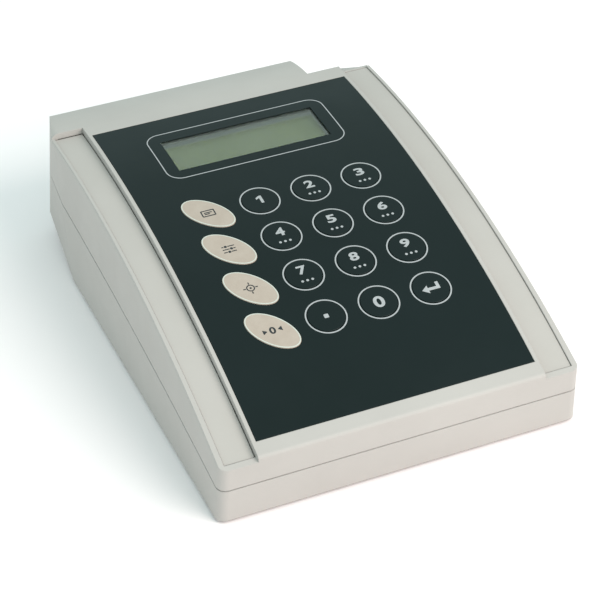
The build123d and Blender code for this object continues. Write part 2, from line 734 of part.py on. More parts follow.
# ---------------------------------------------------------------- sample port and optics
def make_lid():
    """Sloping light-tight lid with its hinge knuckle and a pocket for the tube's top."""
    lid_low_x = hood_end_x + lid_side_gap
    lid_width = 2 * (port_x - lid_low_x)
    lid_end = hinge_along - knuckle_radius - knuckle_gap
    lid_length = lid_end - lid_front_gap
    centre = lid_front_gap + lid_length / 2
    knuckle_width = last_knuckle_x - first_knuckle_x - shell_knuckle_width - 2 * knuckle_gap
    with BuildPart() as sample_lid:
        with BuildSketch(deck_plane(centre, lid_lift)):
            RectangleRounded(lid_width, lid_length, 1.6)
        extrude(amount=lid_thickness)
        fillet(sample_lid.faces().sort_by(Axis.Z)[-1].edges(), radius=0.9)
        add(outer_block, mode=Mode.INTERSECT)
        with BuildSketch(hinge_axis_plane.offset(hinge_middle_x - knuckle_width / 2)):
            Circle(knuckle_radius)
        extrude(amount=knuckle_width)
        with BuildSketch(deck_plane(lid_end + knuckle_radius / 2 - 0.5, lid_lift, hinge_middle_x)):
            Rectangle(knuckle_width, knuckle_radius + knuckle_gap + 1.0)
        extrude(amount=knuckle_radius + hinge_lift - lid_lift - 0.6)
        with BuildSketch(hinge_axis_plane.offset(hinge_middle_x - knuckle_width)):
            Circle(hinge_pin_radius + hinge_clearance)
        extrude(amount=2 * knuckle_width, mode=Mode.SUBTRACT)
        with BuildSketch(deck_plane(port_along, lid_lift)):
            Circle(seal_inner - 0.1)
        extrude(amount=lid_pocket_depth, mode=Mode.SUBTRACT)
        # finger groove across the free edge
        with BuildSketch(deck_plane(lid_front_gap, lid_lift + lid_thickness)):
            SlotOverall(lid_width / 2, 2.4)
        extrude(amount=-1.2, mode=Mode.SUBTRACT)
    write_piece(sample_lid, "sample_lid")
    with BuildPart() as lid_seal:
        with BuildSketch(deck_plane(port_along, lid_lift - seal_thickness)):
            Circle(seal_outer)
            Circle(seal_inner, mode=Mode.SUBTRACT)
        extrude(amount=seal_thickness)
    write_piece(lid_seal, "lid_seal")
    with BuildPart() as lid_hinge_pin:
        with BuildSketch(hinge_axis_plane.offset(first_knuckle_x - shell_knuckle_width / 2 + 0.2)):
            Circle(hinge_pin_radius)
        extrude(amount=last_knuckle_x - first_knuckle_x + shell_knuckle_width - 0.4)
    write_piece(lid_hinge_pin, "lid_hinge_pin")


def make_well():
    """Closed-bottom sleeve for the sample tube, with the two beam windows."""
    well_bottom = block_bottom + well_floor
    with BuildPart() as sample_well:
        with BuildSketch(Plane(origin=(port_x, port_deck_y, well_bottom))):
            Circle(well_radius)
        extrude(amount=FAR / 8)
        with BuildSketch(Plane(origin=(port_x, port_deck_y, well_bottom + well_floor))):
            Circle(tube_bore_radius)
        extrude(amount=FAR / 8, mode=Mode.SUBTRACT)
        split(bisect_by=deck_plane(0.0, -0.1), keep=Keep.BOTTOM)
        with BuildSketch(Plane.XZ.offset(-port_deck_y)):
            with Locations((port_x, beam_height)):
                Circle(beam_window_radius)
        extrude(amount=2 * well_radius, mode=Mode.SUBTRACT)
        with BuildSketch(Plane.YZ.offset(port_x)):
            with Locations((port_deck_y, beam_height)):
                Circle(beam_window_radius)
        extrude(amount=-2 * well_radius, mode=Mode.SUBTRACT)
    write_piece(sample_well, "sample_well")


def make_optical_block():
    """Black block round the well: source arm towards the front, detector arm at right angles."""
    floor_plane = Plane.XY.offset(block_bottom)
    with BuildPart() as optical_block:
        with BuildSketch(floor_plane):
            with Locations(((block_left_x + port_x + well_radius + block_wall) / 2,
                            (block_front_y + block_rear_y) / 2)):
                Rectangle(2 * (well_radius + block_wall), block_rear_y - block_front_y)
            with Locations((port_x, (source_arm_end + block_front_y) / 2)):
                Rectangle(2 * arm_half, block_front_y - source_arm_end)
            with Locations(((detector_arm_end + block_left_x) / 2,
                            (port_deck_y - arm_half + block_rear_y) / 2)):
                Rectangle(block_left_x - detector_arm_end, block_rear_y - port_deck_y + arm_half)
        extrude(amount=block_top - block_bottom)
        chamfer(optical_block.faces().sort_by(Axis.Z)[-1].edges(), length=0.6)
        add(case_block(wall + block_shell_gap), mode=Mode.INTERSECT)
        with BuildSketch(floor_plane):
            for x, y in block_post_places:
                with Locations((x, y)):
                    Circle(ear_radius)
            x, y = block_post_places[0]
            with Locations((x + ear_radius, y)):
                Rectangle(2 * ear_radius, 2 * ear_radius)
            x, y = block_post_places[1]
            with Locations((x, y + ear_radius)):
                Rectangle(2 * ear_radius, 2 * ear_radius)
        extrude(amount=ear_thickness)
        with BuildSketch(floor_plane):
            with Locations(*block_post_places):
                Circle(small_screw_radius + 0.2)
        extrude(amount=ear_thickness, mode=Mode.SUBTRACT)
        with BuildSketch(floor_plane.offset(well_floor - 0.02)):
            with Locations((port_x, port_deck_y)):
                Circle(well_radius + well_clearance)
        extrude(amount=FAR / 8, mode=Mode.SUBTRACT)
        with BuildSketch(Plane.XZ.offset(-port_deck_y)):
            with Locations((port_x, beam_height)):
                Circle(optic_radius + optic_clearance)
        extrude(amount=FAR / 8, mode=Mode.SUBTRACT)
        with BuildSketch(Plane.YZ.offset(port_x)):
            with Locations((port_deck_y, beam_height)):
                Circle(optic_radius + optic_clearance)
        extrude(amount=-FAR / 8, mode=Mode.SUBTRACT)
    write_piece(optical_block, "optical_block")
    with BuildPart() as optical_block_screws:
        for x, y in block_post_places:
            add(screw_from_above(x, y, block_bottom + ear_thickness))
    write_piece(optical_block_screws, "optical_block_screws")


def screw_from_above(x, y, seat_z):
    """Small pan-head screw with its head on seat_z and its shank pointing down."""
    return (upright_cylinder(x, y, seat_z, seat_z + small_screw_head_height, small_screw_head_radius)
            + upright_cylinder(x, y, seat_z - 6.0, seat_z, small_screw_radius))


def source_disc(gap_to_well, thickness):
    """Round element in the source arm, gap_to_well in front of the well sleeve."""
    rear_y = port_deck_y - well_radius - gap_to_well
    return Plane.XZ.offset(-rear_y), (port_x, beam_height), thickness


def detector_disc(gap_to_well, thickness):
    """Round element in the detector arm, gap_to_well to the left of the well sleeve."""
    return Plane.YZ.offset(port_x - well_radius - gap_to_well), (port_deck_y, beam_height), -thickness


def make_optics():
    """Lamp, lenses, filters, detector and their two small boards."""
    discs = {"excitation_filter": source_disc(0.6, 2.0), "emission_filter": detector_disc(0.6, 2.0)}
    for name, (plane, centre, thickness) in discs.items():
        with BuildPart() as disc:
            with BuildSketch(plane):
                with Locations(centre):
                    Circle(optic_radius)
            extrude(amount=thickness)
        write_piece(disc, name)
    lenses = {"source_lens": source_disc(4.0, 1.2), "detector_lens": detector_disc(4.0, 1.2)}
    for name, (plane, centre, thickness) in lenses.items():
        with BuildPart() as lens:
            with BuildSketch(plane):
                with Locations(centre):
                    Circle(optic_radius)
            extrude(amount=thickness)
            bulge = 1.6 if thickness > 0 else -1.6
            with BuildSketch(plane.offset(thickness)):
                with Locations(centre):
                    Circle(optic_radius)
            extrude(amount=bulge, taper=35)
        write_piece(lens, name)
    board_gap = 0.05
    with BuildPart() as excitation_led:
        with BuildSketch(Plane.XZ.offset(-source_arm_end)):
            with Locations((port_x, beam_height)):
                Circle(optic_radius)
        extrude(amount=-2.0)
        with BuildSketch(Plane.XZ.offset(-source_arm_end - 2.0)):
            with Locations((port_x, beam_height)):
                Circle(2.5)
        extrude(amount=-6.6)
        fillet(excitation_led.faces().sort_by(Axis.Y)[-1].edges(), radius=2.3)
    write_piece(excitation_led, "excitation_led")
    with BuildPart() as photodiode:
        with BuildSketch(Plane.YZ.offset(detector_arm_end)):
            with Locations((port_deck_y, beam_height)):
                Circle(optic_radius)
        extrude(amount=1.0)
        with BuildSketch(Plane.YZ.offset(detector_arm_end + 1.0)):
            with Locations((port_deck_y, beam_height)):
                Circle(3.4)
        extrude(amount=3.2)
    write_piece(photodiode, "photodiode")
    with BuildPart() as source_board:
        with BuildSketch(Plane.XZ.offset(board_gap - source_arm_end)):
            with Locations((port_x, beam_height)):
                RectangleRounded(2 * arm_half, 2 * arm_half, 1.0)
        extrude(amount=board_thickness)
    write_piece(source_board, "source_board")
    with BuildPart() as detector_board:
        with BuildSketch(Plane.YZ.offset(detector_arm_end - board_gap)):
            with Locations((port_deck_y, beam_height)):
                RectangleRounded(2 * arm_half, 2 * arm_half, 1.0)
        extrude(amount=-board_thickness)
    write_piece(detector_board, "detector_board")


# ---------------------------------------------------------------- electronics
def make_main_board():
    """Main board with its chip, capacitors, headers and screws."""
    board_top = main_board_z + board_thickness
    front_y = reach(main_board_front_reach)
    rear_y = reach(main_board_rear_reach)
    with BuildPart() as main_board:
        with BuildSketch(Plane.XY.offset(main_board_z)):
            with Locations((0, (front_y + rear_y) / 2)):
                RectangleRounded(2 * main_board_half_width, rear_y - front_y, 2.0)
            with Locations(*board_screw_places):
                Circle(small_screw_radius + 0.2, mode=Mode.SUBTRACT)
        extrude(amount=board_thickness)
    write_piece(main_board, "main_board")
    with BuildPart() as board_screws:
        for x, y in board_screw_places:
            add(screw_from_above(x, y, board_top))
    write_piece(board_screws, "board_screws")
    with BuildPart() as controller_chip:
        with BuildSketch(Plane.XY.offset(board_top)):
            with Locations((chip_x, reach(chip_reach))):
                Rectangle(chip_width, chip_width)
        extrude(amount=chip_height)
        chamfer(controller_chip.edges().filter_by(Axis.Z), length=1.0)
    write_piece(controller_chip, "controller_chip")
    with BuildPart() as board_capacitors:
        with BuildSketch(Plane.XY.offset(board_top)):
            with Locations((capacitor_x, reach(capacitor_reach))):
                with GridLocations(capacitor_pitch, capacitor_pitch, 2, 2):
                    Circle(capacitor_radius)
        extrude(amount=capacitor_height)
    write_piece(board_capacitors, "board_capacitors")
    with BuildPart() as board_headers:
        with BuildSketch(Plane.XY.offset(board_top)):
            with Locations((0, keypad_header_y)):
                Rectangle(ribbon_width + 2 * header_margin, header_depth)
            with Locations((0, display_header_y)):
                Rectangle(display_ribbon_width + 2 * header_margin, header_depth)
        extrude(amount=header_height)
    write_piece(board_headers, "board_headers")


def make_ribbon(name, width, points):
    """Flat ribbon cable along a few straight runs, seen from the side."""
    with BuildSketch(Plane.YZ) as path:
        with BuildLine():
            Polyline(*points)
        trace(line_width=ribbon_thickness)
    with BuildPart() as ribbon:
        extrude(path.sketch, amount=width / 2, both=True)
    write_piece(ribbon, name)


keypad_header_y = reach(keypad_header_reach)
display_header_y = reach(display_header_reach)
header_top = main_board_z + board_thickness + header_height
port_along = (port_deck_y - deck_plane().origin.Y) / cos(radians(port_angle)) - 0.9


def make_ribbons():
    """Keypad ribbon through the panel slot and display ribbon to the main board."""
    circuit_under = -stack_depth + 0.1
    make_ribbon("keypad_ribbon", ribbon_width,
                (panel_point(ribbon_reach, circuit_under - 0.3), panel_point(ribbon_reach, -panel_thickness - 2.0),
                 (keypad_header_y - 6.0, header_top + 3.0), (keypad_header_y, header_top + 1.6),
                 (keypad_header_y, header_top)))
    board_under = -overlay_thickness - bezel_top - bezel_height - 0.05 - board_thickness
    board_front = window_reach - display_board_length / 2 + 2.0
    make_ribbon("display_ribbon", display_ribbon_width,
                (panel_point(board_front, board_under - 0.2), panel_point(board_front - 1.0, board_under - 6.0),
                 (display_header_y, header_top + 4.0), (display_header_y, header_top)))


# ---------------------------------------------------------------- rear connectors
def make_switch():
    """Rocker switch: housing with flange, and the tilting rocker on its pin."""
    opening = rocker_half_width + 2 * rocker_side_gap
    with BuildPart() as switch_housing:
        with BuildSketch(rear_plane):
            with Locations((-switch_x, 0)):
                RectangleRounded(switch_width + 2 * switch_flange, switch_height + 2 * switch_flange, 1.0)
        extrude(amount=switch_flange_thickness)
        with BuildSketch(rear_plane):
            with Locations((-switch_x, 0)):
                Rectangle(switch_width, switch_height)
        extrude(amount=-switch_depth)
        with BuildSketch(rear_plane.offset(-switch_depth + 3.0)):
            with Locations((-switch_x, 0)):
                Rectangle(2 * opening, 2 * (rocker_half_height + rocker_side_gap))
        extrude(amount=switch_depth, mode=Mode.SUBTRACT)
        with BuildSketch(Plane(origin=rocker_pivot, z_dir=(0, 0, 1))):
            Circle(rocker_pin_radius + 0.07)
        extrude(amount=rocker_half_height + 1.1, both=True, mode=Mode.SUBTRACT)
    write_piece(switch_housing, "switch_housing")
    face = 4.0
    rise = rocker_half_width * tan(radians(rocker_throw / 2))
    tilted = Plane(origin=rocker_pivot, x_dir=(cos(radians(rocker_throw / 2)), sin(radians(rocker_throw / 2)), 0),
                   z_dir=(0, 0, 1))
    with BuildPart() as power_rocker:
        with BuildSketch(tilted):
            Polygon((-rocker_half_width, face + rise), (-rocker_half_width + 0.3, -1.4), (-3.0, -3.2), (3.0, -3.2),
                    (rocker_half_width - 0.3, -1.4), (rocker_half_width, face + rise), (0, face), align=None)
        extrude(amount=rocker_half_height, both=True)
        with BuildSketch(tilted):
            Circle(rocker_pin_radius)
        extrude(amount=rocker_half_height + 1.0, both=True)
    write_piece(power_rocker, "power_rocker")


rocker_pivot = (switch_x, rear_wall_y - 2.4, connector_height)


def make_jack():
    """Power jack with its bush, bore, centre pin and outside nut."""
    inner_plane = rear_plane.offset(-wall - 0.05)
    with BuildPart() as dc_jack:
        with BuildSketch(inner_plane):
            with Locations((-jack_x, 0)):
                Circle(jack_body_radius)
        extrude(amount=-10.0)
        with BuildSketch(inner_plane):
            with Locations((-jack_x, 0)):
                Circle(jack_bush_radius)
        extrude(amount=wall + 2.6)
        with BuildSketch(rear_plane.offset(2.6)):
            with Locations((-jack_x, 0)):
                Circle(jack_bore_radius)
        extrude(amount=-11.0, mode=Mode.SUBTRACT)
        with BuildSketch(inner_plane.offset(-9.0)):
            with Locations((-jack_x, 0)):
                Circle(jack_pin_radius)
        extrude(amount=9.0)
    write_piece(dc_jack, "dc_jack")
    with BuildPart() as dc_jack_nut:
        with BuildSketch(rear_plane):
            with Locations((-jack_x, 0)):
                RegularPolygon(jack_nut_width / 2, 6, major_radius=False)
                Circle(jack_bush_radius + screw_clearance, mode=Mode.SUBTRACT)
        extrude(amount=2.0)
    write_piece(dc_jack_nut, "dc_jack_nut")


def make_serial():
    """Nine-way serial socket behind the wall and its two jackscrews."""
    inner_plane = rear_plane.offset(-wall - 0.05)
    with BuildPart() as serial_connector:
        with BuildSketch(inner_plane):
            with Locations((-serial_x, 0)):
                RectangleRounded(serial_flange_width, serial_flange_height, 1.5)
                with GridLocations(serial_screw_pitch, 1, 2, 1):
                    Circle(jackscrew_radius + screw_clearance, mode=Mode.SUBTRACT)
        extrude(amount=-1.0)
        with BuildSketch(inner_plane.offset(-1.0)):
            with Locations((-serial_x, 0)):
                Rectangle(serial_body_width + 2.0, serial_body_height + 1.6)
        extrude(amount=-8.0)
        with BuildSketch(inner_plane):
            with Locations((-serial_x, 0)):
                Trapezoid(serial_body_width, serial_body_height, 80, rotation=180)
        extrude(amount=wall + 3.0)
        fillet(serial_connector.edges().filter_by(Axis.Y).group_by(Axis.Y)[-1], radius=1.2)
    write_piece(serial_connector, "serial_connector")
    with BuildPart() as jackscrews:
        with BuildSketch(rear_plane):
            with Locations((-serial_x, 0)):
                with GridLocations(serial_screw_pitch, 1, 2, 1):
                    RegularPolygon(jackscrew_hex_radius, 6)
        extrude(amount=4.0)
        with BuildSketch(rear_plane):
            with Locations((-serial_x, 0)):
                with GridLocations(serial_screw_pitch, 1, 2, 1):
                    Circle(jackscrew_radius)
        extrude(amount=-wall - 2.5)
    write_piece(jackscrews, "jackscrews")


make_top_shell()
make_base_shell()
make_side_strips()
make_feet()
make_case_screws()
make_overlay()
make_spacer()
make_circuit()
make_domes()
make_keys()
make_display()
make_lid()
make_well()
make_optical_block()
make_optics()
make_main_board()
make_ribbons()
make_switch()
make_jack()
make_serial()
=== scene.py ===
import math

import bmesh
import bpy
from mathutils import Matrix, Vector
from mathutils.bvhtree import BVHTree


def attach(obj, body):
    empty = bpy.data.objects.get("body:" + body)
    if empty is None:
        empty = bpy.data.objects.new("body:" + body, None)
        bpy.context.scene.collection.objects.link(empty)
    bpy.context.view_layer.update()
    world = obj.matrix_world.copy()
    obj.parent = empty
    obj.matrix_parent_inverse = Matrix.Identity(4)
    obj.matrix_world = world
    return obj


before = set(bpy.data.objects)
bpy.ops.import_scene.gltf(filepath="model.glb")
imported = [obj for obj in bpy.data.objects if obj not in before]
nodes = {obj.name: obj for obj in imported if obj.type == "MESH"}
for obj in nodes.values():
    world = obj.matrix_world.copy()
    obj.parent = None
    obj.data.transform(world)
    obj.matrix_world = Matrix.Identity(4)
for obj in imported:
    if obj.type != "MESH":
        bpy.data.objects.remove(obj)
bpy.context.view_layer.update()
MM = 0.001

# ------------------------------------------------------------------ the CAD's sizes, metres
# Keypad panel: an arch seen from the side; s runs along it from the overlay's front edge
PANEL_RADIUS = 395.4 * MM
FRONT_SLOPE = math.radians(21.24)
OVERLAY_FRONT_Y = -92.56 * MM
OVERLAY_FRONT_Z = (1.2 + 27.35) * MM    # foot height and height above the case bottom
KEY_PITCH = 20.0 * MM
KEY_ROW_PITCH = 20.1 * MM
FIRST_ROW = 100.1 * MM
KEY_MIDDLE_X = 10.25 * MM
OVAL_X = -29.8 * MM
OVAL_LONG = 10.7 * MM
OVAL_SHORT = 6.03 * MM
OVAL_TURN = math.radians(-49.7)
WINDOW_REACH = 137.5 * MM
# Rear face
REAR_Y = 94.24 * MM
CONNECTOR_Z = 21.6 * MM
SERIAL_X = 4.0 * MM
SWITCH_X = -46.0 * MM
SOCKET_FACE_Y = REAR_Y + 2.95 * MM
SOCKET_PITCH = 2.77 * MM
SOCKET_ROW = 1.42 * MM                  # from the middle to each row
SOCKET_HOLE = 0.62 * MM                 # radius
SLEEVE_OUTER = 0.56 * MM
SLEEVE_INNER = 0.36 * MM
SOCKET_SINK = 0.05 * MM                 # insulator and sleeves start this far inside the face
INSULATOR_DEPTH = 0.14 * MM
SLEEVE_DEPTH = 0.10 * MM
ROCKER_MARK_X = 4.6 * MM                # each mark, from the rocker's middle
ROCKER_INK = 0.05 * MM

# ------------------------------------------------------------------ printed marks
INK = 0.045 * MM                        # top of the ink above the surface
SINK = 0.02 * MM                        # its underside below the surface
CAST_HEIGHT = 6.0 * MM                  # rays towards the panel start this far above it
CAST_BEHIND = 30.0 * MM                 # and rays towards the rocker this far behind the rear face
POINT_HALF = 0.85 * MM
POINT_RADIUS = 0.3 * MM
NOUGHT_SIZE = (4.9 * MM, 4.1 * MM)      # height and width of the nought by itself
DIGIT_SIZE = (4.0 * MM, 3.5 * MM)       # and of a digit over its dots
DIGIT_PLACE = (0.1 * MM, 2.0 * MM)
DOT_RADIUS = 0.5 * MM
DOT_X, DOT_PITCH = 0.2, 1.9             # middle dot and the step between dots, millimetres
DOT_S = -3.1 * MM
RING_RADIUS = 7.22 * MM
RING_WIDTH = 0.50 * MM
OUTLINE_HALF_X = 35.6 * MM
OUTLINE_HALF_S = 15.25 * MM
OUTLINE_RADIUS = 5.6 * MM
OUTLINE_WIDTH = 0.38 * MM
OUTLINE_PLACE = (0.1 * MM, 137.75 * MM)
HIGHLIGHT_RING_OUTER = 0.15 * MM                   # painted highlight ring, in from the edge of an oval key
HIGHLIGHT_RING_INNER = 0.55 * MM
# Painted shade on the display glass, in graded bands standing in for the shaded walls of the window's recess:
# each band lies between two neighbouring half sizes, millimetres
PAINTED_SHADE_STEPS = ((33.6, 11.3), (31.6, 10.5), (30.9, 9.7), (30.2, 8.9))
PAINTED_SHADE_TONES = (((0.066, 0.086, 0.090), (0.080, 0.100, 0.104)),
                ((0.074, 0.096, 0.084), (0.088, 0.112, 0.098)),
                ((0.084, 0.108, 0.062), (0.098, 0.124, 0.074)))
ENTER_ARROW = ((3.3, 2.0), (3.3, -1.1), (-1.2, -1.1), (-1.2, -2.3), (-3.6, -0.5), (-1.2, 1.3),
               (-1.2, 0.1), (2.1, 0.1), (2.1, 2.0))
NUMERAL_ONE = ((0.1, -1.6), (1.15, -1.6), (1.15, 2.4), (0.2, 2.4), (-1.15, 1.55), (-1.15, 0.65),
               (0.1, 1.25))
SOCKET_OUTLINE = ((-7.0, 3.1), (7.0, 3.1), (7.3, 2.8), (6.4, -2.8), (6.0, -3.1), (-6.0, -3.1),
                  (-6.4, -2.8), (-7.3, 2.8))


# ------------------------------------------------------------------ materials
class Build:
    """A node tree with the few calls that the materials share."""

    def __init__(self, name):
        self.material = bpy.data.materials.new(name)
        self.material.use_nodes = True
        self.tree = self.material.node_tree
        self.shader = self.tree.nodes["Principled BSDF"]
        self.where = self.node("ShaderNodeTexCoord").outputs["Object"]

    def node(self, kind, **settings):
        made = self.tree.nodes.new(kind)
        for key, value in settings.items():
            setattr(made, key, value)
        return made

    def link(self, start, end):
        self.tree.links.new(start, end)

    def stretched(self, scale):
        mapping = self.node("ShaderNodeMapping")
        mapping.inputs["Scale"].default_value = scale
        self.link(self.where, mapping.inputs["Vector"])
        return mapping.outputs["Vector"]

    def noise(self, scale, detail=3.0, roughness=0.55, vector=None):
        texture = self.node("ShaderNodeTexNoise")
        texture.inputs["Scale"].default_value = scale
        texture.inputs["Detail"].default_value = detail
        texture.inputs["Roughness"].default_value = roughness
        self.link(vector or self.where, texture.inputs["Vector"])
        return texture.outputs["Fac"]

    def ramp(self, source, dark, light, start=0.3, end=0.7):
        """Colour between two tones."""
        ramp = self.node("ShaderNodeValToRGB")
        for stop, place, tone in zip(ramp.color_ramp.elements, (start, end), (dark, light)):
            stop.position = place
            stop.color = (*tone, 1)
        self.link(source, ramp.inputs["Fac"])
        return ramp.outputs["Color"]

    def fit(self, source, low, high, start=0.3, end=0.7):
        """Number between two limits."""
        span = self.node("ShaderNodeMapRange")
        for key, value in (("From Min", start), ("From Max", end), ("To Min", low), ("To Max", high)):
            span.inputs[key].default_value = value
        self.link(source, span.inputs["Value"])
        return span.outputs["Result"]

    def mix(self, factor, colour, tone):
        """A colour socket, mixed with one fixed tone."""
        blend = self.node("ShaderNodeMix", data_type="RGBA")
        self.link(colour, blend.inputs[6])
        blend.inputs[7].default_value = (*tone, 1)
        self.link(factor, blend.inputs["Factor"])
        return blend.outputs[2]

    def multiply(self, first, second):
        product = self.node("ShaderNodeMath", operation="MULTIPLY")
        self.link(first, product.inputs[0])
        self.link(second, product.inputs[1])
        return product.outputs[0]

    def edge(self, radius):
        """(rounded normal, mask that is 1 on outer and inner edges)."""
        bevel = self.node("ShaderNodeBevel", samples=6)
        bevel.inputs["Radius"].default_value = radius
        flat = self.node("ShaderNodeNewGeometry").outputs["Normal"]
        dot = self.node("ShaderNodeVectorMath", operation="DOT_PRODUCT")
        self.link(bevel.outputs["Normal"], dot.inputs[0])
        self.link(flat, dot.inputs[1])
        return bevel.outputs["Normal"], self.fit(dot.outputs["Value"], 1.0, 0.0, 0.80, 0.995)

    def bump(self, height, distance, strength=1.0, normal=None):
        bump = self.node("ShaderNodeBump")
        bump.inputs["Distance"].default_value = distance
        bump.inputs["Strength"].default_value = strength
        self.link(height, bump.inputs["Height"])
        if normal is not None:
            self.link(normal, bump.inputs["Normal"])
        self.link(bump.outputs["Normal"], self.shader.inputs["Normal"])

    def set(self, **values):
        """Numbers and colours go on the shader's own sockets, and node sockets are linked."""
        for key, value in values.items():
            socket = self.shader.inputs[key.replace("_", " ")]
            if isinstance(value, (int, float)):
                socket.default_value = value
            elif isinstance(value, tuple):
                socket.default_value = (*value, 1)
            else:
                self.link(value, socket)


def moulded(name, dark, light, rough, grain, depth, edge=0.35, wear_and_painted_light=0.25, specular=0.4):
    """Moulded plastic with a spark-eroded grain, faint mottling and paler edges: rubbed wear on outer edges,
    and painted light lifting the shade in inner edges and gaps.
    """
    b = Build(name)
    colour = b.ramp(b.noise(28.0, 4.0), dark, light)
    soft_normal, mask = b.edge(edge * MM)
    # Paler edges: rubbed wear on outer edges, and painted light that lifts the shade in inner edges and gaps
    rubbed_and_painted_light_tone = tuple(min(1.0, c * 1.12 + 0.01) for c in light)
    scuff_and_painted_light = b.multiply(mask, b.fit(b.noise(300.0), 0.0, wear_and_painted_light, 0.35, 0.65))
    b.set(Base_Color=b.mix(scuff_and_painted_light, colour, rubbed_and_painted_light_tone), Specular_IOR_Level=specular)
    b.set(Roughness=b.fit(b.noise(90.0, 4.0), rough - 0.05, rough + 0.06))
    b.bump(b.noise(1.0 / (grain * MM), 2.0, 0.6), depth * MM, 0.6, soft_normal)
    return b.material


def metal(name, dark, light, rough, streak=(1, 1, 1)):
    """Plated or brushed metal; streak stretches the brushing."""
    b = Build(name)
    lines = b.noise(1.0 / (0.3 * MM), 3.0, 0.6, b.stretched(streak))
    soft_normal, _ = b.edge(0.15 * MM)
    b.set(Metallic=1.0, Base_Color=b.ramp(b.noise(160.0, 4.0), dark, light))
    b.set(Roughness=b.fit(lines, rough - 0.06, rough + 0.12))
    b.bump(lines, 0.01 * MM, 0.5, soft_normal)
    return b.material


def printed(name, dark, light, rough=0.45):
    """Screen-printed ink: a thin matte layer with faint unevenness."""
    b = Build(name)
    b.set(Base_Color=b.ramp(b.noise(900.0), dark, light), Specular_IOR_Level=0.35)
    b.set(Roughness=b.fit(b.noise(400.0, 2.0), rough - 0.06, rough + 0.08))
    b.bump(b.noise(4000.0, 2.0), 0.006 * MM, 0.4)
    return b.material


def film(name, dark, light, clouds, smears, rough, specular, edge, grain, relief):
    """Keypad film: faint clouds in its tone, smears in its gloss and a fine texture."""
    b = Build(name)
    b.set(Base_Color=b.ramp(b.noise(clouds, 4.0), dark, light), Specular_IOR_Level=specular)
    b.set(Roughness=b.fit(b.noise(*smears), rough, rough + 0.10))
    soft_normal, _ = b.edge(edge * MM)
    b.bump(b.noise(grain, 2.0), 0.012 * MM, relief, soft_normal)
    return b.material


def clear_film(name, dark, light):
    """Clear window film with a faint anti-glare haze, thicker in soft clouds."""
    b = Build(name)
    b.set(Base_Color=b.ramp(b.noise(40.0), dark, light), IOR=1.45, Specular_IOR_Level=0.3)
    b.set(Transmission_Weight=b.fit(b.noise(30.0), 0.955, 0.98))
    b.set(Roughness=b.fit(b.noise(70.0, 4.0), 0.0, 0.04))
    b.bump(b.noise(55.0), 0.01 * MM, 0.15)
    return b.material


def display_cell(name, dark, light):
    """Reflective green-grey display glass with the fine grain of its cells."""
    b = Build(name)
    b.set(Base_Color=b.ramp(b.noise(26.0), dark, light), Specular_IOR_Level=0.3)
    b.set(Roughness=b.fit(b.noise(90.0), 0.18, 0.28))
    b.bump(b.noise(3000.0, 2.0), 0.006 * MM, 0.3)
    return b.material


def board(name, dark, light):
    """Solder mask over the traces of a printed circuit."""
    b = Build(name)
    b.set(Base_Color=b.ramp(b.noise(200.0, 5.0), dark, light, 0.35, 0.65))
    b.set(Roughness=b.fit(b.noise(350.0), 0.22, 0.36))
    b.bump(b.noise(1600.0), 0.02 * MM, 0.5)
    return b.material


def glass(name, colour, rough=0.04):
    """Polished glass or clear epoxy."""
    b = Build(name)
    b.set(Base_Color=colour, Transmission_Weight=1.0, IOR=1.5)
    b.set(Roughness=b.fit(b.noise(150.0), 0.0, rough))
    b.bump(b.noise(90.0, 2.0), 0.004 * MM, 0.2)
    return b.material


def flat_cable(name, dark, light):
    """Grey ribbon with its row of conductors across X."""
    b = Build(name)
    wave = b.node("ShaderNodeTexWave", bands_direction="X")
    wave.inputs["Scale"].default_value = 400.0
    b.link(b.where, wave.inputs["Vector"])
    b.set(Base_Color=b.ramp(wave.outputs["Fac"], dark, light, 0.2, 0.8))
    b.set(Roughness=b.fit(b.noise(300.0), 0.4, 0.55))
    b.bump(wave.outputs["Fac"], 0.15 * MM, 0.6)
    return b.material


